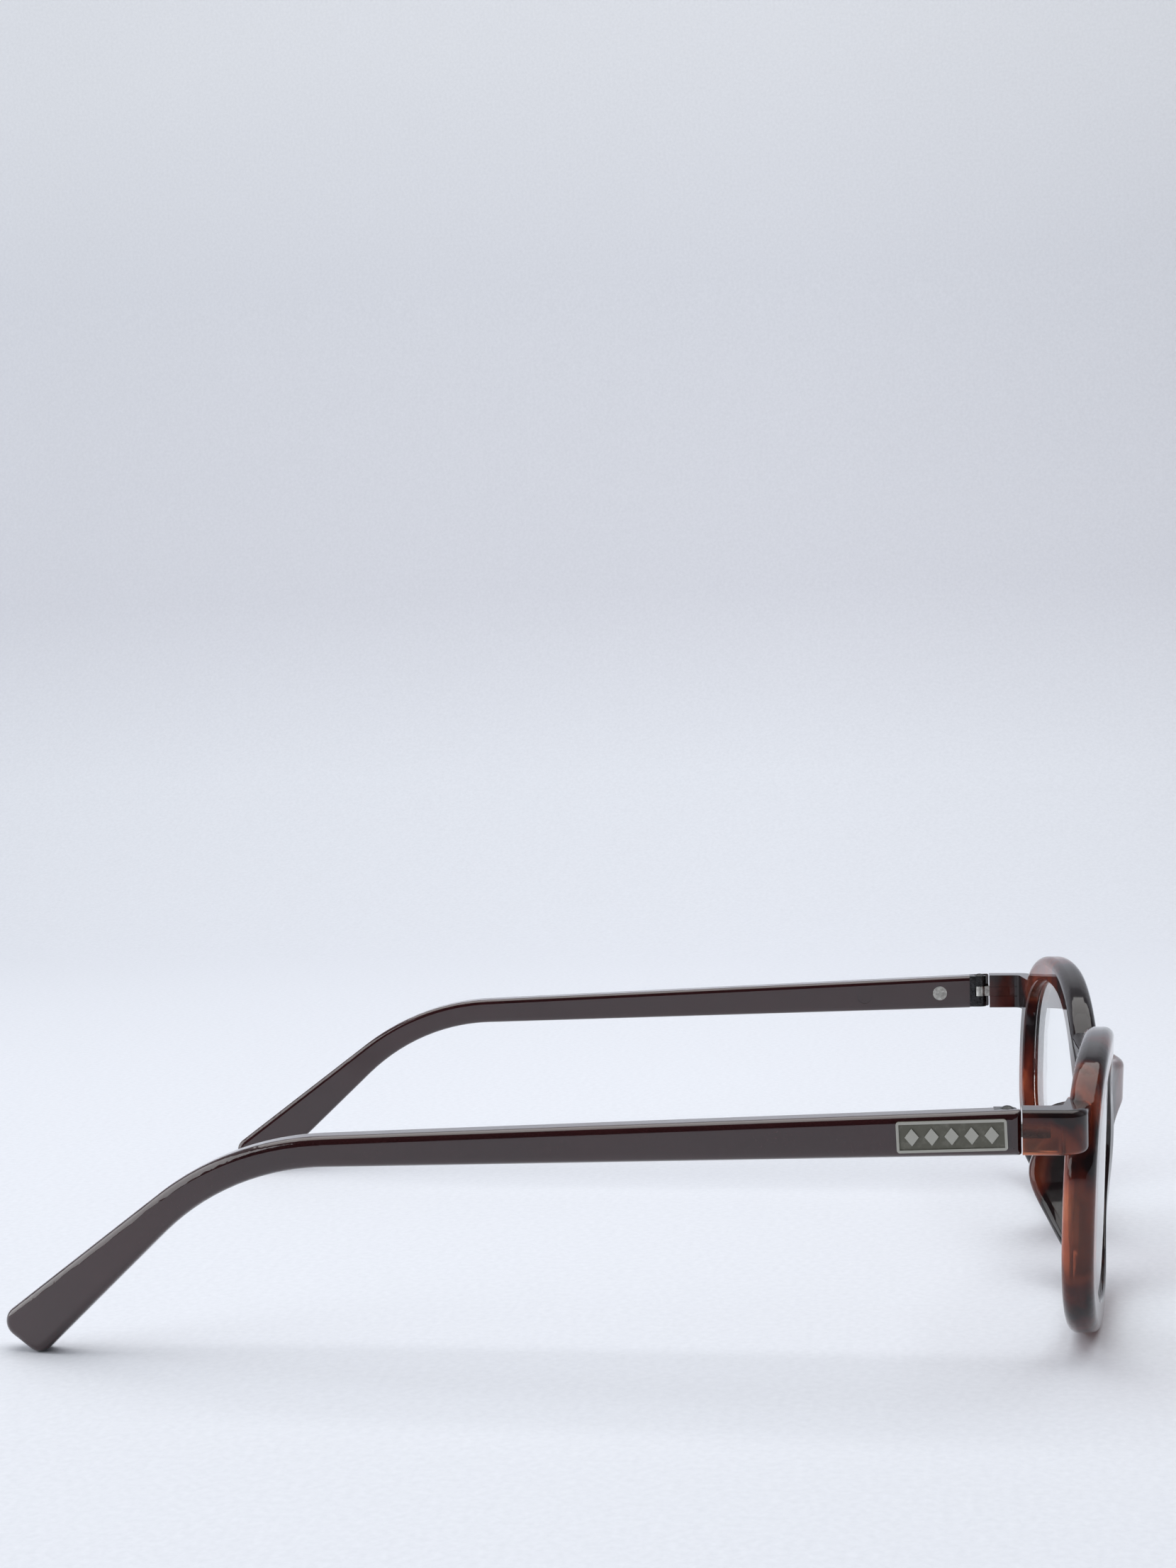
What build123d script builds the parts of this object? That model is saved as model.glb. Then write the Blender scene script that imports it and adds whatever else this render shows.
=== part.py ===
from build123d import *
import os
from math import atan2, copysign, cos, degrees, exp, radians, sin, tan

# Full-rim plastic eyeglasses, open, standing on the rim bottoms and the temple tips.
# Millimetres. +Z is up, the wearer faces -Y and the wearer's left is +X.
# Every piece is first drawn with y = 0 at the butt joint between the temples and the front.

# ---- front ----
lens_width = 50.0          # lens opening, across
lens_height = 32.8         # lens opening, up and down
bridge_gap = 19.5          # between the two lens openings
rim_width = 4.0            # rim seen from the front
end_overhang = 3.75        # end piece beyond the side of the rim
front_thickness = 4.2      # rim seen from above
front_curve_radius = 340.0  # bend of the front seen from above
front_reach = 15.0         # how far the front stands ahead of the temple joint
bridge_bulge = 3.0         # extra reach of the bridge
bridge_bulge_width = 7.5
front_tilt = 2.5           # degrees, top of the front forward
temple_side_squareness = 2.5  # exponent of the eye shape: 2 is an ellipse
nose_side_squareness = 2.1
top_lean = 4.2             # the top of the eye shape leans outward
front_round = 1.4          # rounding of the outer rim edges
end_round = 0.9            # rounding of the end pieces
end_corner = 3.2           # corner of the end piece seen from above
end_corner_inside = 1.0
end_setback = 1.2          # outer corner of the end piece behind the front face
end_overlap = 6.0          # end piece let into the rim
end_cover = 0.4            # end piece inside the thickness of the rim
opening_round = 0.3        # rounding of the edges round the lens
eye_points = 24            # points that fix the eye shape
bend_stations = [-1.05, -0.7, -0.42, -0.25, -0.125, 0, 0.125, 0.25, 0.42, 0.7, 1.05]  # of half_width

# ---- bridge and nose pads ----
bridge_top_dip = 10.2      # bridge top below the top of the rims
bridge_height = 7.0
bridge_shoulder = 2.4      # bridge top rises this much towards the rims
bridge_inset = 0.15        # bridge thinner than the rims, front and rear
bridge_round = 1.1
nose_arch_half = 7.4       # half width of the nose arch at its foot
nose_arch_height = 8.5
pad_reach = 8.5            # nose pad behind the rim
pad_root = 0.8             # pad inside the rim
pad_inset = 0.5            # pad inside the outline of the rim
pad_length = 19.5
pad_thickness = 2.9
pad_round = 1.1
pad_splay = 22.0           # degrees seen from above
pad_foot = 2.8             # lower end of the pad above the table
pad_profile = [(0.36, 0.09), (0.7, 0.31), (1.0, 0.68), (0.6, 0.92)]  # of pad_reach and pad_length

# ---- lenses ----
lens_thickness = 1.8
lens_recess = 0.6          # behind the front face of the rim
groove_depth = 0.6
lens_clearance = 0.02

# ---- end pieces and hinges ----
hinge_drop = 8.7           # middle of the hinge below the top of the rims
end_height = 5.8
joint_gap = 0.1            # between the temple and the end piece, open
skin = 1.6                 # outer wall of the temple beside the hinge
hinge_pocket = 3.5         # the inner part of the temple stops this far back
knuckle_radius = 1.15
knuckle_setback = 1.75     # hinge axis behind the butt joint
side_clearance = 0.12
knuckle_clearance = 0.06   # between knuckles, up and down
centre_knuckle = 1.7       # height of the middle knuckle
tongue_width = 1.4
tongue_length = 3.6        # let into the end piece
anchor_length = 3.4        # let into the temple
anchor_thickness = 1.1
anchor_height = 3.0
leaf_inset = 0.15          # hinge below the top and above the bottom of the end piece
screw_radius = 0.5
screw_clearance = 0.05
screw_head_radius = 0.85
screw_head_sink = 0.45
screw_head_proud = 0.35
screw_slot = 0.22
screw_slot_depth = 0.21
swing_reach = 3.0          # knuckle radii that are cut free for the tongue to swing
slot_line = 0.12           # fine lines beside the hinge on the end piece
slot_line_length = 5.0

# ---- temples ----
temple_length = 138.7      # from the joint to the end of the tip, straight back
temple_thickness = 4.0
temple_fall_top = 2.5      # degrees the top edge falls towards the bend
temple_fall_bottom = 1.5
bend_back = 34.3           # corner of the bend, ahead of the end of the tip
drop_slope = 43.4          # degrees, lower edge of the dropped end
bend_radius_top = 41.0
bend_radius_bottom = 34.0
tip_end = 8.2              # flat end of the tip, before it is rounded
tip_end_slope = 32.0       # degrees above level
tip_round = 2.2
temple_end_round = 0.3     # corners beside the joint
curl_start = 10.0          # the curve inwards begins this far ahead of the bend
toe_in = 1.4               # temple leans in, straight part
tip_toe_in = 8.0           # temple leans in, at the tip
temple_round_out = 1.1
temple_round_in = 0.8

# ---- badge on the temple ----
badge_length = 14.0
badge_height = 4.0
badge_thickness = 0.85
badge_sink = 0.4
badge_start = 1.9          # behind the joint
badge_border = 0.35
badge_relief = 0.18
badge_lozenges = 5
lozenge_end_margin = 0.7   # between the row of lozenges and the end of the badge
lozenge_edge_margin = 0.875
lozenge_half_width = 0.36  # of the spacing of the lozenges
badge_corner = 0.4
rivet_radius = 0.7
rivet_head_radius = 1.25
rivet_head_height = 0.7
dimple_radius = 1.3
dimple_depth = 0.12
dimple_back = 22.4         # behind the joint

# ---- cuts and the choice of edges to round ----
spare = 20.0               # cutting shapes reach this far past the part
cut_over = 1.0             # small cuts begin this far outside the part
clear_of_corner = 1.0      # chosen edges lie this far from other corners
clear_of_face = 0.5
level_slope = 0.1          # an edge flatter than this is level
sideways_slope = 0.5       # an edge steeper across than this runs across
side_facing = 0.8          # a face turned this much to the side is a side face
upright_slope = 0.99       # an edge steeper than this is upright

eye_centre_x = bridge_gap / 2 + lens_width / 2
eye_centre_z = lens_height / 2 + rim_width
rim_top = 2 * eye_centre_z
half_width = eye_centre_x + lens_width / 2 + rim_width + end_overhang
inner_wall = half_width - temple_thickness
straight_run = temple_length - bend_back - curl_start
hinge_x = half_width - skin - side_clearance - knuckle_radius
hinge_y = knuckle_setback
hinge_z = rim_top - hinge_drop
hinge_top = hinge_z + end_height / 2 - leaf_inset
hinge_bottom = hinge_z - end_height / 2 + leaf_inset


def front_y(x, offset=0.0):
    """How far back the front lies at x, at the height of the eye centres."""
    bulge = bridge_bulge * exp(-(x / bridge_bulge_width) ** 2)
    return -front_reach + x * x / (2 * front_curve_radius) - bulge + offset


def eye_outline(grow):
    """Closed eye shape on the x-z plane, larger than the opening by grow."""
    half_x = lens_width / 2 + grow
    half_z = lens_height / 2 + grow
    points = []
    for step in range(eye_points):
        turn = radians(360 * step / eye_points)
        squareness = temple_side_squareness if cos(turn) > 0 else nose_side_squareness
        across = copysign(abs(cos(turn)) ** (2 / squareness), cos(turn))
        up = copysign(abs(sin(turn)) ** (2 / squareness), sin(turn))
        lean = top_lean * max(up, 0) ** 2
        points.append((eye_centre_x + half_x * across + lean, eye_centre_z + half_z * up))
    return Spline(*points, periodic=True)


def upright(face):
    """A face drawn as (x, z) stands up on the x-z plane."""
    return Plane.XZ * face


def through(sketch):
    """A front-view sketch, pushed through the whole depth of the front."""
    return extrude(upright(sketch), amount=front_reach + spare, both=True)


def tilted(solid):
    pivot = Location((0, 0, eye_centre_z))
    return pivot * Rotation(front_tilt, 0, 0) * pivot.inverse() * solid


def curved_slab(front_offset, rear_offset):
    """The space between two bent sheets that follow the front."""
    xs = [half_width * station for station in bend_stations]
    ahead = Spline(*[(x, front_y(x, front_offset)) for x in xs])
    behind = Spline(*[(x, front_y(x, rear_offset)) for x in xs])
    left = Line(ahead @ 0, behind @ 0)
    right = Line(ahead @ 1, behind @ 1)
    plan = make_face([ahead, right, behind, left])
    slab = Pos(0, 0, -spare) * extrude(plan, amount=rim_top + 2 * spare)
    return tilted(slab)


def bridge_sketch():
    top = rim_top - bridge_top_dip
    foot = top - bridge_height
    reach = bridge_gap / 2 + rim_width
    shoulder = top + bridge_shoulder
    arch_foot = foot - nose_arch_height
    over = ThreePointArc((-reach, shoulder), (0, top), (reach, shoulder))
    under = ThreePointArc((-nose_arch_half, arch_foot), (0, foot), (nose_arch_half, arch_foot))
    right = Polyline((reach, shoulder), (reach, arch_foot), (nose_arch_half, arch_foot))
    left = Polyline((-reach, shoulder), (-reach, arch_foot), (-nose_arch_half, arch_foot))
    return make_face([over, right, under, left])


def end_piece_edges(block):
    """The outer edges of an end piece that run round the corner, top and bottom."""
    chosen = []
    for edge in block.edges():
        middle = edge.position_at(0.5)
        level = abs(edge.tangent_at(0.5).Z) < level_slope
        beside = middle.X > inner_wall + clear_of_face
        outer = beside or middle.Y < front_y(inner_wall) + clear_of_corner
        if level and outer and middle.Y < -clear_of_face:
            chosen.append(edge)
    return chosen


def end_piece():
    """The left end piece: from the front round the corner to the temple joint."""
    inboard = inner_wall - end_overlap
    outline = FilletPolyline(
        (inner_wall, 0),
        (half_width, 0),
        (half_width, front_y(inner_wall) + end_setback),
        (inboard, front_y(inboard) + end_cover),
        (inboard, front_y(inboard, front_thickness) - end_cover),
        (inner_wall, front_y(inner_wall, front_thickness) - end_cover),
        radius=[0, 0, end_corner, 0, 0, end_corner_inside],
        close=True,
    )
    block = extrude(make_face(outline), amount=end_height)
    block = Pos(0, 0, hinge_z - end_height / 2) * block
    block = fillet(end_piece_edges(block), radius=end_round)
    line = Box(slot_line * 2, slot_line_length, slot_line)
    for side in (-1, 1):
        height = hinge_z + side * centre_knuckle / 2
        block = block - Pos(inner_wall, -slot_line_length / 2, height) * line
    return block


def pad_wall():
    """A wall that follows the outside of the left rim and spreads towards the rear."""
    outside = rim_width - pad_inset
    ring = make_face(eye_outline(outside)) - make_face(eye_outline(outside - pad_thickness))
    rim_x = bridge_gap / 2 - rim_width / 2
    pivot = Pos(rim_x, front_y(rim_x, front_thickness), 0)
    return pivot * Rotation(0, 0, -pad_splay) * pivot.inverse() * through(ring)


def nose_pad():
    """One nose pad, a rounded fin behind the nasal side of the left rim."""
    curve = [(pad_reach * back, pad_length * up) for back, up in pad_profile]
    outline = Spline((-pad_root, 0), *curve, (-pad_root, pad_length))
    back = Line(outline @ 1, outline @ 0)
    side = extrude(Plane.YZ * make_face([outline, back]), amount=eye_centre_x)
    rim_x = bridge_gap / 2 - rim_width / 2
    fin = pad_wall() & Pos(0, front_y(rim_x, front_thickness), pad_foot) * side
    return fillet(pad_edges(fin), radius=pad_round)


def pad_edges(fin):
    """The edges round the free side of a nose pad."""
    behind = fin.bounding_box().min.Y + pad_root + clear_of_corner
    return [e for e in fin.edges() if e.position_at(0.5).Y > behind and e.length > pad_length / 2]


def hinge_slot():
    """The slot in the left end piece that the hinge tongue is let into."""
    length = tongue_length + cut_over
    slot = Box(tongue_width, length, centre_knuckle)
    return Pos(hinge_x, cut_over - length / 2, hinge_z) * slot


def rim():
    """The left rim, bent like the front and rounded inside and outside."""
    band = make_face(eye_outline(rim_width)) - make_face(eye_outline(0))
    ring = through(band) & curved_slab(0, front_thickness)
    opening_edges = ring.edges().sort_by(SortBy.LENGTH)[-4:-2]
    ring = fillet(opening_edges, radius=opening_round)
    outer_edges = ring.edges().sort_by(SortBy.LENGTH)[-2:]
    return fillet(outer_edges, radius=front_round)


def inside_rim():
    """Everything inside the middle line of the left rim, cut from what joins on to it."""
    return through(make_face(eye_outline(rim_width / 2)))


def bridge():
    """The bar over the nose, its ends let into the two rims."""
    bar = through(bridge_sketch()) & curved_slab(bridge_inset, front_thickness - bridge_inset)
    long_edges = [e for e in bar.edges() if abs(e.position_at(0.5).X) < bridge_inset]
    bar = fillet(long_edges, radius=bridge_round)
    return bar - inside_rim() - mirror(inside_rim(), about=Plane.YZ)


def front_frame():
    """Rims, bridge, end pieces and nose pads, moulded in one piece."""
    half = rim() + (end_piece() - inside_rim()) - hinge_slot()
    half = half - lens_groove() + (nose_pad() - lens_groove())
    return half + bridge() + mirror(half, about=Plane.YZ)


def lens():
    """The left lens, held all round in the groove of the rim."""
    face = make_face(eye_outline(groove_depth - lens_clearance))
    return through(face) & curved_slab(lens_recess, lens_recess + lens_thickness)


def lens_groove():
    face = make_face(eye_outline(groove_depth))
    near = lens_recess - lens_clearance
    far = lens_recess + lens_thickness + lens_clearance
    return through(face) & curved_slab(near, far)


def temple_side_view():
    """The temple seen from the side, drawn as (y, z)."""
    front_top = hinge_z + end_height / 2
    front_bottom = hinge_z - end_height / 2
    bend_y = temple_length - bend_back
    top_corner = (bend_y, front_top - bend_y * tan(radians(temple_fall_top)))
    bottom_corner = (bend_y, front_bottom - bend_y * tan(radians(temple_fall_bottom)))
    half_corner = radians(180 - drop_slope - tip_end_slope) / 2
    bisector = radians(180 - drop_slope + tip_end_slope) / 2
    foot_z = -tip_round * (sin(bisector) / sin(half_corner) - 1)
    foot_y = bend_y + (bottom_corner[1] - foot_z) / tan(radians(drop_slope))
    slope = radians(tip_end_slope)
    heel = (foot_y + tip_end * cos(slope), foot_z + tip_end * sin(slope))
    return FilletPolyline(
        (joint_gap, front_bottom),
        bottom_corner,
        (foot_y, foot_z),
        heel,
        top_corner,
        (joint_gap, front_top),
        radius=[
            temple_end_round,
            bend_radius_bottom,
            tip_round,
            tip_round,
            bend_radius_top,
            temple_end_round,
        ],
        close=True,
    )


def temple_plan():
    """The left temple seen from above: straight, then curving in towards the tip."""
    far_y = temple_length + tip_round
    lean = (-toe_in, straight_run)
    outer = Line((half_width, 0), (half_width - toe_in, straight_run))
    outer_curl = TangentArc(outer @ 1, (half_width - tip_toe_in, far_y), tangent=lean)
    inner = Line((inner_wall, 0), (inner_wall - toe_in, straight_run))
    inner_curl = TangentArc(inner @ 1, (inner_wall - tip_toe_in, far_y), tangent=lean)
    end = Line(outer_curl @ 1, inner_curl @ 1)
    start = Line(inner @ 0, outer @ 0)
    return make_face([start, outer, outer_curl, end, inner_curl, inner])


def side_edges(solid, side):
    """The long edges round the outer (+1) or inner (-1) face of the left temple."""
    faces = [f for f in solid.faces() if f.normal_at(f.center()).X * side > side_facing]
    edges = []
    for face in faces:
        edges += [e for e in face.edges() if abs(e.tangent_at(0.5).X) < sideways_slope]
    between = [e for e in edges if abs(e.tangent_at(0.5).Z) > upright_slope]
    return [e for e in edges if e not in between]


def on_temple(along_y, height):
    """A place on the outer face of the left temple, x pointing out of it."""
    lean = atan2(toe_in, straight_run)
    out = half_width - toe_in * along_y / straight_run
    return Location((out, along_y, height), (0, 0, degrees(lean)))


def badge_place():
    middle = badge_start + badge_length / 2
    fall = (temple_fall_top + temple_fall_bottom) / 2
    height = hinge_z - middle * tan(radians(fall))
    return on_temple(middle, height) * Rotation(-fall, 0, 0)


def badge_block(depth, back):
    """A rounded block as large as the badge, from back to back + depth out of the face."""
    outline = RectangleRounded(badge_length, badge_height, badge_corner)
    return extrude(Plane.YZ.offset(back) * outline, amount=depth)


def badge():
    """A plate with a raised border and a row of lozenges."""
    plate = badge_block(badge_thickness - badge_relief, -badge_sink)
    face = badge_thickness - badge_relief - badge_sink
    ring = RectangleRounded(badge_length, badge_height, badge_corner)
    ring = ring - Rectangle(badge_length - 2 * badge_border, badge_height - 2 * badge_border)
    plate = plate + extrude(Plane.YZ.offset(face) * ring, amount=badge_relief)
    pitch = (badge_length - 2 * lozenge_end_margin) / badge_lozenges
    half_width_of_one = pitch * lozenge_half_width
    half_height = badge_height / 2 - lozenge_edge_margin
    for number in range(badge_lozenges):
        across = (number - (badge_lozenges - 1) / 2) * pitch
        corners = [(-half_width_of_one, 0), (0, -half_height), (half_width_of_one, 0), (0, half_height)]
        lozenge = Polygon(*corners)
        lozenge = Plane.YZ.offset(face) * Pos(across, 0) * lozenge
        plate = plate + extrude(lozenge, amount=badge_relief)
    return badge_place() * plate


def badge_rivet(grow=0.0):
    """The pin that holds the badge, its round head flush with the inner face."""
    inner = -temple_thickness
    shaft_length = temple_thickness - badge_sink
    shaft = extrude(Plane.YZ.offset(inner) * Circle(rivet_radius + grow), amount=shaft_length)
    head = extrude(Plane.YZ.offset(inner) * Circle(rivet_head_radius + grow), amount=rivet_head_height)
    return badge_place() * (shaft + head)


def hinge_cylinder(radius, low, high):
    return Pos(hinge_x, hinge_y, (low + high) / 2) * Cylinder(radius, high - low)


def anchor():
    """The tail of the temple's hinge leaf, let into the temple."""
    middle = hinge_pocket + anchor_length / 2
    return Pos(hinge_x, middle, hinge_z) * Box(anchor_thickness, anchor_length, anchor_height)


def temple():
    side = extrude(Plane.YZ * make_face(temple_side_view()), amount=half_width * 2)
    plan = Pos(0, 0, -spare) * extrude(temple_plan(), amount=rim_top + 2 * spare)
    body = side & plan
    body = fillet(side_edges(body, 1), radius=temple_round_out)
    body = fillet(side_edges(body, -1), radius=temple_round_in)
    pocket_width = temple_thickness - skin + 2 * cut_over
    pocket = Box(pocket_width, hinge_pocket + 2 * cut_over, rim_top)
    pocket_x = half_width - skin - pocket_width / 2
    body = body - Pos(pocket_x, hinge_pocket / 2 - cut_over, hinge_z) * pocket
    body = body - anchor()
    body = body - badge_place() * badge_block(badge_thickness, -badge_sink)
    body = body - badge_rivet()
    dent = extrude(Plane.YZ.offset(-temple_thickness) * Circle(dimple_radius), amount=dimple_depth)
    fall = tan(radians((temple_fall_top + temple_fall_bottom) / 2))
    body = body - on_temple(dimple_back, hinge_z - dimple_back * fall) * dent
    return body


def temple_hinge_leaf():
    """Upper and lower knuckles with a tail in the temple."""
    knuckles = hinge_cylinder(knuckle_radius, hinge_bottom, hinge_top)
    depth = hinge_pocket - hinge_y
    block = Box(2 * knuckle_radius, depth, hinge_top - hinge_bottom)
    leaf = knuckles + Pos(hinge_x, hinge_y + depth / 2, hinge_z) * block + anchor()
    half_gap = centre_knuckle / 2 + knuckle_clearance
    room = knuckle_radius + side_clearance
    leaf = leaf - hinge_cylinder(room, hinge_z - half_gap, hinge_z + half_gap)
    swing = tongue_width / 2 + side_clearance
    inward = swing_reach * knuckle_radius
    sweep = Box(inward, 2 * swing, 2 * half_gap)
    leaf = leaf - Pos(hinge_x - inward / 2, hinge_y, hinge_z) * sweep
    seat = hinge_top - screw_head_sink
    leaf = leaf - hinge_cylinder(screw_head_radius + screw_clearance, seat, hinge_top + cut_over)
    leaf = leaf - hinge_cylinder(screw_radius + screw_clearance, hinge_z, hinge_top)
    return leaf - hinge_cylinder(screw_radius, hinge_bottom - cut_over, hinge_z)


def front_hinge_leaf():
    """Middle knuckle with a tongue in the end piece."""
    low = hinge_z - centre_knuckle / 2
    high = hinge_z + centre_knuckle / 2
    length = hinge_y + tongue_length
    tongue = Pos(hinge_x, hinge_y - length / 2, hinge_z) * Box(tongue_width, length, centre_knuckle)
    leaf = hinge_cylinder(knuckle_radius, low, high) + tongue
    return leaf - hinge_cylinder(screw_radius + screw_clearance, low - cut_over, high + cut_over)


def hinge_screw():
    """Screw with a domed, slotted head, down through all three knuckles."""
    seat = hinge_top - screw_head_sink
    shaft = hinge_cylinder(screw_radius, hinge_bottom, seat)
    rim = hinge_top
    head = hinge_cylinder(screw_head_radius, seat, rim)
    dome_radius = (screw_head_radius**2 + screw_head_proud**2) / (2 * screw_head_proud)
    dome = Pos(hinge_x, hinge_y, rim + screw_head_proud - dome_radius) * Sphere(dome_radius)
    dome = dome & hinge_cylinder(screw_head_radius, rim, rim + screw_head_proud)
    cut = Box(screw_slot, 4 * screw_head_radius, 2 * screw_slot_depth)
    return shaft + head + dome - Pos(hinge_x, hinge_y, rim + screw_head_proud) * cut


def main():
    left_pieces = {
        "lens_left": lens(),
        "temple_left": temple(),
        "front_hinge_leaf_left": front_hinge_leaf(),
        "temple_hinge_leaf_left": temple_hinge_leaf(),
        "hinge_screw_left": hinge_screw(),
        "badge_left": badge(),
        "badge_rivet_left": badge_rivet(),
    }
    pieces = {"front_frame": front_frame()}
    for name, piece in left_pieces.items():
        pieces[name] = piece
        pieces[name.replace("left", "right")] = mirror(piece, about=Plane.YZ)
    boxes = [piece.bounding_box() for piece in pieces.values()]
    ahead = min(box.min.Y for box in boxes)
    behind = max(box.max.Y for box in boxes)
    lowest = min(box.min.Z for box in boxes)
    origin = Pos(0, -(ahead + behind) / 2, -lowest)
    os.makedirs("parts", exist_ok=True)
    for name, piece in pieces.items():
        export_step(origin * piece, f"parts/{name}.step")
    hinge = origin * Pos(hinge_x, hinge_y, hinge_z)
    print("left hinge axis at", tuple(round(value, 3) for value in hinge.position))


main()
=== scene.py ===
"""Full-rim plastic eyeglasses, open on white paper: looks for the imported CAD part.

Metres. +Z is up, the wearer faces -Y and the wearer's left is +X.
"""

import math

import bpy
from mathutils import Matrix, Vector


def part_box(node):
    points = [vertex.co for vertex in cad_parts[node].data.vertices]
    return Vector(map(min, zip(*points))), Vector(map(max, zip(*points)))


MM = 0.001
JOINT_GAP = 0.1 * MM       # between the temple and the end piece
BADGE_RELIEF = 0.18 * MM   # the border and lozenges stand this far above the plate

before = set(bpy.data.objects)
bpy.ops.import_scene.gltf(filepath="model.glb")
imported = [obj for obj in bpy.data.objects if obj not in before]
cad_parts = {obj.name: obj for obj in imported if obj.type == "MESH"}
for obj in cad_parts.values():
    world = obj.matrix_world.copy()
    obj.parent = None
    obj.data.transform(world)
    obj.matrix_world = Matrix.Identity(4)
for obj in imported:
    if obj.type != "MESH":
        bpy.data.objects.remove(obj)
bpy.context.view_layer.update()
joint_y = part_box("temple_right")[0].y - JOINT_GAP
front_low, front_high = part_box("front_frame")
frame_top = front_high.z
frame_half = front_high.x
frame_depth = front_high.y - front_low.y

# ---- camera: beside the wearer's right temple ----
CAMERA_PLACE = Vector((-377.4 * MM, joint_y + 13.1 * MM, 93.3 * MM))
CAMERA_YAW = 0.133         # radians, from +X towards +Y
CAMERA_PITCH = 0.051       # radians, downwards
CAMERA_ROLL = -0.022
CAMERA_LENS = 55.83        # millimetres
SENSOR_WIDTH = 36          # millimetres, along the longer side
CLIP_START = 0.01

# ---- paper ----
WALL_DISTANCE = 0.62       # behind the object, along +X
WALL_HEIGHT = 1.6
SWEEP_RADIUS = 0.25        # the paper curves up with this radius
SWEEP_STEPS = 16
PAPER_START = -1.5         # near edge, along X
PAPER_HALF = 1.6           # half the width, along Y

# ---- light ----
SKY_COLOUR = (0.93, 0.96, 1.0)
SKY_BRIGHT = 0.45          # strength beyond the object
SKY_DIM = 0.05             # strength on the camera's side
SKY_DIM_END = -0.45        # X of the direction where the dim part ends
SKY_BRIGHT_START = 0.15    # and where the bright part starts
AIM_FOOT = (0, 0, 0)
AIM_MIDDLE = (0, 0, 0.02)
WARM = (1.0, 0.99, 0.97)
COOL = (0.95, 0.98, 1.0)

# ---- colours, linear ----
AMBER = (0.66, 0.21, 0.085)
BROWN = (0.42, 0.090, 0.040)
DARK_BROWN = (0.10, 0.018, 0.013)
NEARLY_BLACK = (0.014, 0.008, 0.009)
AMBER_SHADOW = (0.30, 0.13, 0.07)
BURGUNDY_DARK = (0.019, 0.0028, 0.0036)
BURGUNDY_LIGHT = (0.031, 0.0052, 0.0064)
BURGUNDY_FLECK = (0.050, 0.014, 0.016)
LENS_CLEAN = (0.985, 0.995, 0.99)
LENS_SMEARED = (0.95, 0.965, 0.96)
LENS_SHADOW = (0.93, 0.95, 0.95)
PEWTER_DARK = (0.17, 0.165, 0.135)
PEWTER_GREY = (0.31, 0.30, 0.26)
PEWTER_BRIGHT = (0.47, 0.46, 0.41)
PAPER_DIM = (0.76, 0.785, 0.85)
PAPER_BRIGHT = (0.82, 0.845, 0.91)
WALL_FOOT_SHADE = (0.88, 0.87, 0.88)
WALL_SHADE = (0.96, 0.95, 0.93)
BLACK_PLATE = ((0.012, 0.012, 0.013), (0.05, 0.05, 0.052))
SATIN_NICKEL = ((0.42, 0.41, 0.38), (0.68, 0.67, 0.63))


def make_camera():
    """The camera, turned by its yaw, then its pitch, then its roll."""
    forward = Vector(
        (
            math.cos(CAMERA_PITCH) * math.cos(CAMERA_YAW),
            math.cos(CAMERA_PITCH) * math.sin(CAMERA_YAW),
            -math.sin(CAMERA_PITCH),
        )
    )
    level = forward.cross(Vector((0, 0, 1))).normalized()
    upward = level.cross(forward)
    right = math.cos(CAMERA_ROLL) * level + math.sin(CAMERA_ROLL) * upward
    top = right.cross(forward)
    data = bpy.data.cameras.new("camera")
    data.lens = CAMERA_LENS
    data.sensor_width = SENSOR_WIDTH
    data.clip_start = CLIP_START
    camera = bpy.data.objects.new("camera", data)
    turn = Matrix((right, top, -forward)).transposed()
    camera.matrix_world = Matrix.Translation(CAMERA_PLACE) @ turn.to_4x4()
    bpy.context.scene.collection.objects.link(camera)
    bpy.context.scene.camera = camera


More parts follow.
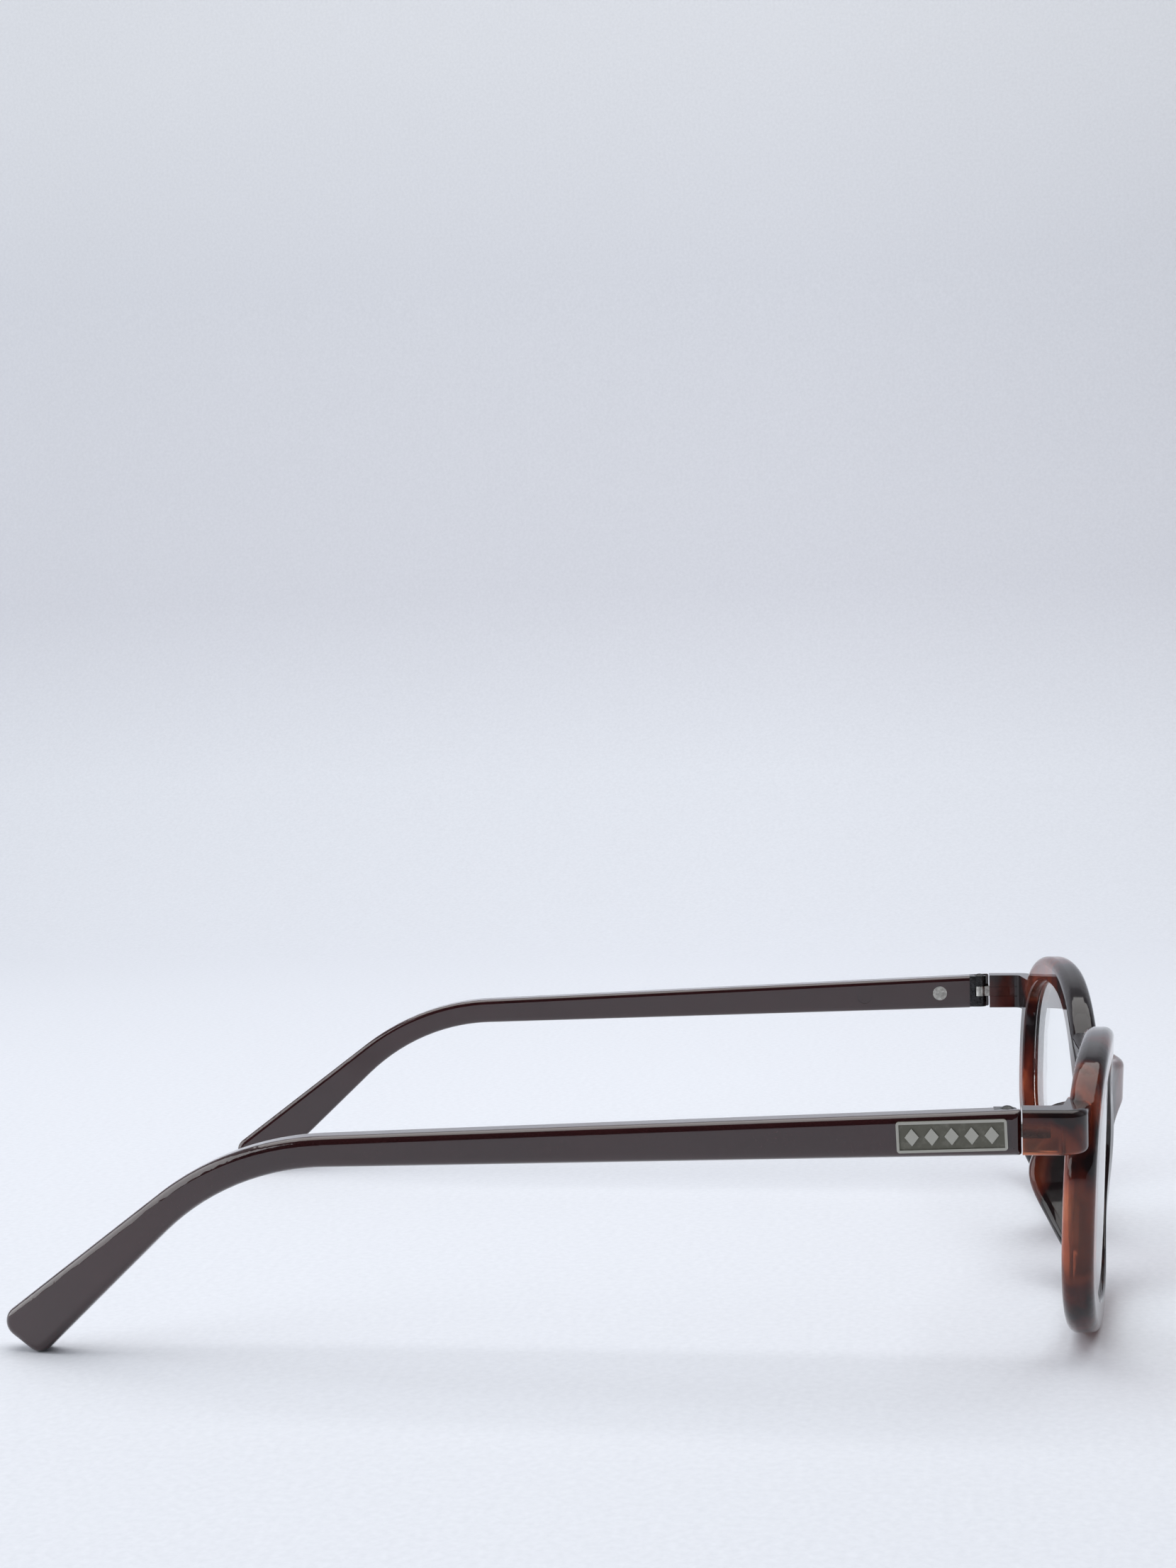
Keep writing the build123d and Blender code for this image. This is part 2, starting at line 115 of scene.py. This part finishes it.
class Nodes:
    """A new material and short ways to add and join its nodes."""

    def __init__(self, name):
        self.material = bpy.data.materials.new(name)
        self.material.use_nodes = True
        self.tree = self.material.node_tree
        self.shader = self.tree.nodes["Principled BSDF"]
        self.output = self.tree.nodes["Material Output"]
        self.place = self.tree.nodes.new("ShaderNodeTexCoord").outputs["Object"]

    def join(self, source, target):
        self.tree.links.new(source, target)

    def plain(self, **values):
        """Constants on the Principled shader, with _ for each space in an input's name."""
        for name, value in values.items():
            self.shader.inputs[name.replace("_", " ")].default_value = value

    def split(self):
        """The X, Y and Z of the place on the surface."""
        node = self.tree.nodes.new("ShaderNodeSeparateXYZ")
        self.join(self.place, node.inputs[0])
        return node.outputs["X"], node.outputs["Y"], node.outputs["Z"]

    def stretch(self, scale):
        """The place on the surface, scaled along each axis."""
        node = self.tree.nodes.new("ShaderNodeMapping")
        node.inputs["Scale"].default_value = scale
        self.join(self.place, node.inputs["Vector"])
        return node.outputs["Vector"]

    def noise(self, scale, detail=3.0, rough=0.5, twist=0.0, vector=None):
        node = self.tree.nodes.new("ShaderNodeTexNoise")
        node.inputs["Scale"].default_value = scale
        node.inputs["Detail"].default_value = detail
        node.inputs["Roughness"].default_value = rough
        node.inputs["Distortion"].default_value = twist
        self.join(vector or self.place, node.inputs["Vector"])
        return node.outputs["Fac"]

    def ramp(self, value, *stops):
        """Colours or greys at places from 0 to 1."""
        node = self.tree.nodes.new("ShaderNodeValToRGB")
        ramp = node.color_ramp
        while len(ramp.elements) < len(stops):
            ramp.elements.new(0.5)
        for element, (at, colour) in zip(ramp.elements, stops):
            element.position = at
            element.color = (*colour, 1) if isinstance(colour, tuple) else (colour,) * 3 + (1,)
        self.join(value, node.inputs["Fac"])
        return node.outputs["Color"]

    def math(self, operation, a, b):
        node = self.tree.nodes.new("ShaderNodeMath")
        node.operation = operation
        for socket, value in zip(node.inputs, (a, b)):
            if isinstance(value, (int, float)):
                socket.default_value = value
            else:
                self.join(value, socket)
        return node.outputs["Value"]

    def share(self, value, whole, *stops):
        """A ramp over value, measured in parts of the whole."""
        return self.ramp(self.math("DIVIDE", value, whole), *stops)

    def blend(self, share, a, b, kind="MIX"):
        node = self.tree.nodes.new("ShaderNodeMix")
        node.data_type = "RGBA"
        node.blend_type = kind
        for socket, value in zip((node.inputs[0], node.inputs[6], node.inputs[7]), (share, a, b)):
            if isinstance(value, (int, float)):
                socket.default_value = value
            elif isinstance(value, tuple):
                socket.default_value = (*value, 1)
            else:
                self.join(value, socket)
        return node.outputs[2]

    def bump(self, height, depth, strength=1.0, under=None):
        """Height from 0 to 1 becomes a relief of that depth in metres."""
        node = self.tree.nodes.new("ShaderNodeBump")
        node.inputs["Strength"].default_value = strength
        node.inputs["Distance"].default_value = depth
        self.join(height, node.inputs["Height"])
        if under is not None:
            self.join(under, node.inputs["Normal"])
        return node.outputs["Normal"]

    def use(self, **sockets):
        for name, source in sockets.items():
            self.join(source, self.shader.inputs[name.replace("_", " ")])


def clear_to_lamps(nodes, tint):
    """Lamps shine through the surface, tinted."""
    see = nodes.tree.nodes.new("ShaderNodeBsdfTransparent")
    see.inputs["Color"].default_value = (*tint, 1)
    path = nodes.tree.nodes.new("ShaderNodeLightPath")
    mix = nodes.tree.nodes.new("ShaderNodeMixShader")
    nodes.join(path.outputs["Is Shadow Ray"], mix.inputs[0])
    nodes.join(nodes.shader.outputs["BSDF"], mix.inputs[1])
    nodes.join(see.outputs["BSDF"], mix.inputs[2])
    nodes.join(mix.outputs["Shader"], nodes.output.inputs["Surface"])


def tortoise():
    """Clear amber with brown clouds, darker at the nose, front corners, top and foot."""
    nodes = Nodes("tortoise_plastic")
    x, y, z = nodes.split()
    side = nodes.math("ABSOLUTE", x, 0)
    back = nodes.math("SUBTRACT", y, front_low.y)
    top = nodes.share(z, frame_top, (0.80, 0.0), (0.96, 1.0))
    foot = nodes.share(z, frame_top, (0.12, 1.0), (0.34, 0.0))
    nose = nodes.share(side, frame_half, (0.20, 1.0), (0.32, 0.0))
    outside = nodes.share(side, frame_half, (0.84, 0.0), (0.93, 1.0))
    ahead = nodes.share(back, frame_depth, (0.66, 1.0), (0.80, 0.0))
    high = nodes.share(z, frame_top, (0.55, 0.0), (0.66, 1.0))
    corner = nodes.math("MULTIPLY", nodes.math("MULTIPLY", outside, ahead), high)
    foot = nodes.math("MULTIPLY", foot, 1.5)
    ends = nodes.math("ADD", top, foot)
    dark_places = nodes.math("ADD", ends, nodes.math("ADD", nose, corner))
    flat = nodes.stretch((1.0, 1.0, 0.6))
    flatter = nodes.stretch((1.0, 1.0, 0.35))
    clouds = nodes.noise(scale=75, detail=2.5, rough=0.55, twist=0.8, vector=flat)
    streaks = nodes.noise(scale=230, detail=4.0, rough=0.6, twist=0.4, vector=flatter)
    clouds = nodes.math("MULTIPLY", clouds, 0.8)
    streaks = nodes.math("MULTIPLY", streaks, 0.2)
    pattern = nodes.math("ADD", clouds, streaks)
    dark = nodes.math("ADD", pattern, nodes.math("MULTIPLY", dark_places, 0.155))
    colour = nodes.ramp(
        dark,
        (0.42, AMBER),
        (0.53, BROWN),
        (0.61, DARK_BROWN),
        (0.68, NEARLY_BLACK),
    )
    clear = nodes.ramp(dark, (0.50, 0.93), (0.64, 0.25))
    nodes.use(Base_Color=colour, Transmission_Weight=clear)
    wave = nodes.noise(scale=70, detail=1.0)
    nodes.use(Normal=nodes.bump(wave, depth=0.25 * MM, strength=0.35))
    nodes.plain(Roughness=0.06, IOR=1.49)
    clear_to_lamps(nodes, AMBER_SHADOW)
    return nodes.material


def burgundy():
    """Glossy and opaque, with fine flecks, a slow wave and a finer ripple along the temple."""
    nodes = Nodes("burgundy_plastic")
    cloud = nodes.noise(scale=60)
    fleck = nodes.noise(scale=5200, detail=2.0, rough=0.6)
    base = nodes.ramp(cloud, (0.3, BURGUNDY_DARK), (0.7, BURGUNDY_LIGHT))
    speck = nodes.ramp(fleck, (0.50, 0.0), (0.74, 1.0))
    colour = nodes.blend(speck, base, BURGUNDY_FLECK)
    wave = nodes.noise(scale=110, detail=1.0, vector=nodes.stretch((1, 0.6, 1)))
    ripple = nodes.noise(scale=420, detail=2.0, twist=0.3, vector=nodes.stretch((1, 0.35, 1)))
    grain = nodes.noise(scale=2400, detail=2.0)
    relief = nodes.bump(wave, depth=0.3 * MM, strength=0.5)
    relief = nodes.bump(ripple, depth=0.05 * MM, strength=0.5, under=relief)
    relief = nodes.bump(grain, depth=0.01 * MM, strength=0.35, under=relief)
    nodes.use(Base_Color=colour, Normal=relief)
    nodes.use(Roughness=nodes.ramp(nodes.noise(scale=300), (0.3, 0.09), (0.7, 0.17)))
    nodes.plain(IOR=1.5, Coat_Weight=0.8, Coat_Roughness=0.05, Coat_IOR=1.5)
    return nodes.material


def lens_glass():
    nodes = Nodes("lens_clear")
    smear = nodes.noise(scale=90, detail=4.0, rough=0.6, twist=1.2)
    nodes.use(Roughness=nodes.ramp(smear, (0.45, 0.0), (0.8, 0.05)))
    nodes.use(Base_Color=nodes.ramp(smear, (0.3, LENS_CLEAN), (0.8, LENS_SMEARED)))
    wave = nodes.noise(scale=40, detail=1.0)
    nodes.use(Normal=nodes.bump(wave, depth=0.02 * MM, strength=0.2))
    nodes.plain(Transmission_Weight=1.0, IOR=1.5)
    clear_to_lamps(nodes, LENS_SHADOW)
    return nodes.material


def metal(name, colours, roughness, metallic=1.0):
    """Brushed along Z; colours holds the worn dark tone and the light one."""
    nodes = Nodes(name)
    dark, light = colours
    wear = nodes.noise(scale=1500, rough=0.6)
    brush = nodes.noise(scale=2500, detail=2.0, vector=nodes.stretch((1, 1, 6)))
    nodes.use(Base_Color=nodes.ramp(wear, (0.35, dark), (0.65, light)))
    nodes.use(Roughness=nodes.ramp(brush, (0.3, roughness * 0.8), (0.7, roughness * 1.35)))
    nodes.use(Normal=nodes.bump(brush, depth=0.008 * MM, strength=0.4))
    nodes.plain(Metallic=metallic)
    return nodes.material


def pewter(name):
    """Antiqued: the low parts of the relief are dark, the high parts rubbed bright."""
    nodes = Nodes("pewter_" + name)
    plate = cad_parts[name].data
    side = 1 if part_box(name)[0].x > 0 else -1
    outward = max(plate.polygons, key=lambda face: face.area * face.normal.x * side).normal
    dot = nodes.tree.nodes.new("ShaderNodeVectorMath")
    dot.operation = "DOT_PRODUCT"
    dot.inputs[1].default_value = outward
    nodes.join(nodes.place, dot.inputs[0])
    floor = max(outward.dot(corner.co) for corner in plate.vertices) - BADGE_RELIEF
    above = nodes.math("SUBTRACT", dot.outputs["Value"], floor)
    height = nodes.math("DIVIDE", above, BADGE_RELIEF)
    patina = nodes.noise(scale=900, detail=4.0, rough=0.65)
    uneven = nodes.math("MULTIPLY", nodes.math("SUBTRACT", patina, 0.5), 0.8)
    worn = nodes.math("ADD", height, uneven)
    tone = nodes.ramp(worn, (0.0, PEWTER_DARK), (0.4, PEWTER_GREY), (0.9, PEWTER_BRIGHT))
    nodes.use(Base_Color=tone, Roughness=nodes.ramp(worn, (0.1, 0.55), (0.9, 0.3)))
    nodes.use(Normal=nodes.bump(patina, depth=0.04 * MM, strength=0.6))
    nodes.plain(Metallic=0.75)
    return nodes.material


def paper():
    """White paper, fibrous and softly creased, with painted shade that makes it a little darker
    up the wall and to the rear.
    """
    nodes = Nodes("white_paper")
    fibre = nodes.noise(scale=900, detail=4.0, rough=0.65)
    crease = nodes.noise(scale=3.0, detail=2.0, twist=0.4, vector=nodes.stretch((1, 0.5, 1.4)))
    white = nodes.ramp(fibre, (0.3, PAPER_DIM), (0.7, PAPER_BRIGHT))
    _, y, z = nodes.split()
    # painted shade: darker where the paper curves up, most at the foot of the wall
    wall = nodes.ramp(z, (0.05, 1.0), (0.12, WALL_FOOT_SHADE), (0.34, WALL_SHADE))
    # painted shade: darker towards +Y, to the rear
    rear = nodes.ramp(y, (0.0, 1.0), (0.3, 0.90))
    shaded = nodes.blend(1.0, white, wall, "MULTIPLY")
    nodes.use(Base_Color=nodes.blend(1.0, shaded, rear, "MULTIPLY"))
    relief = nodes.bump(crease, depth=12 * MM, strength=0.5)
    nodes.use(Normal=nodes.bump(fibre, depth=0.06 * MM, strength=0.3, under=relief))
    nodes.plain(Roughness=0.75)
    return nodes.material


def make_paper():
    """One sheet: flat under the object, then curving up behind it."""
    sweep_start = WALL_DISTANCE - SWEEP_RADIUS
    profile = [(PAPER_START, 0.0), (sweep_start, 0.0)]
    for step in range(1, SWEEP_STEPS + 1):
        turn = math.radians(90 * step / SWEEP_STEPS)
        along = sweep_start + SWEEP_RADIUS * math.sin(turn)
        profile.append((along, SWEEP_RADIUS * (1 - math.cos(turn))))
    profile.append((WALL_DISTANCE, WALL_HEIGHT))
    points = [(x, y, z) for x, z in profile for y in (-PAPER_HALF, PAPER_HALF)]
    faces = [(n, n + 1, n + 3, n + 2) for n in range(0, len(points) - 2, 2)]
    mesh = bpy.data.meshes.new("paper")
    mesh.from_pydata(points, [], faces)
    for polygon in mesh.polygons:
        polygon.use_smooth = True
    mesh.materials.append(paper())
    sheet = bpy.data.objects.new("paper", mesh)
    bpy.context.scene.collection.objects.link(sheet)


def make_light(name, place, aim, width, height, watts, colour):
    """A soft rectangular lamp at a place, turned towards its aim."""
    data = bpy.data.lights.new(name, "AREA")
    data.shape = "RECTANGLE"
    data.size = width
    data.size_y = height
    data.energy = watts
    data.color = colour
    light = bpy.data.objects.new(name, data)
    light.location = place
    light.rotation_mode = "QUATERNION"
    light.rotation_quaternion = (Vector(aim) - Vector(place)).to_track_quat("-Z", "Y")
    bpy.context.scene.collection.objects.link(light)


def make_sky():
    """Even light from beyond the object, dim on the side of the camera."""
    world = bpy.data.worlds.new("studio")
    world.use_nodes = True
    tree = world.node_tree
    sky = tree.nodes["Background"]
    facing = tree.nodes.new("ShaderNodeTexCoord").outputs["Generated"]
    split = tree.nodes.new("ShaderNodeSeparateXYZ")
    shade = tree.nodes.new("ShaderNodeMapRange")
    shade.inputs["From Min"].default_value = SKY_DIM_END
    shade.inputs["From Max"].default_value = SKY_BRIGHT_START
    shade.inputs["To Min"].default_value = SKY_DIM
    shade.inputs["To Max"].default_value = SKY_BRIGHT
    tree.links.new(facing, split.inputs[0])
    tree.links.new(split.outputs["X"], shade.inputs["Value"])
    tree.links.new(shade.outputs["Result"], sky.inputs["Strength"])
    sky.inputs["Color"].default_value = (*SKY_COLOUR, 1)
    bpy.context.scene.world = world


def make_lights():
    make_sky()
    make_light("overhead", (0.10, 0.0, 0.75), AIM_FOOT, 1.1, 0.8, watts=5.3, colour=WARM)
    make_light("window", (-0.35, 0.95, 0.45), AIM_MIDDLE, 1.3, 0.9, watts=8.5, colour=COOL)


def dress(material, *names):
    """Put a material on whole pieces, leaving their meshes as they are."""
    for name in names:
        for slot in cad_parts[name].material_slots:
            slot.link = "OBJECT"
            slot.material = material


make_camera()
make_paper()
make_lights()
dress(tortoise(), "front_frame")
dress(burgundy(), "temple_right", "temple_left")
dress(lens_glass(), "lens_right", "lens_left")
dress(pewter("badge_right"), "badge_right")
dress(pewter("badge_left"), "badge_left")
dark = metal("black_plate", BLACK_PLATE, roughness=0.25, metallic=0.6)
bright = metal("satin_nickel", SATIN_NICKEL, roughness=0.3)
for side in ("right", "left"):
    dress(dark, "temple_hinge_leaf_" + side, "hinge_screw_" + side)
    dress(bright, "front_hinge_leaf_" + side, "badge_rivet_" + side)
bpy.context.scene.view_settings.view_transform = "Standard"
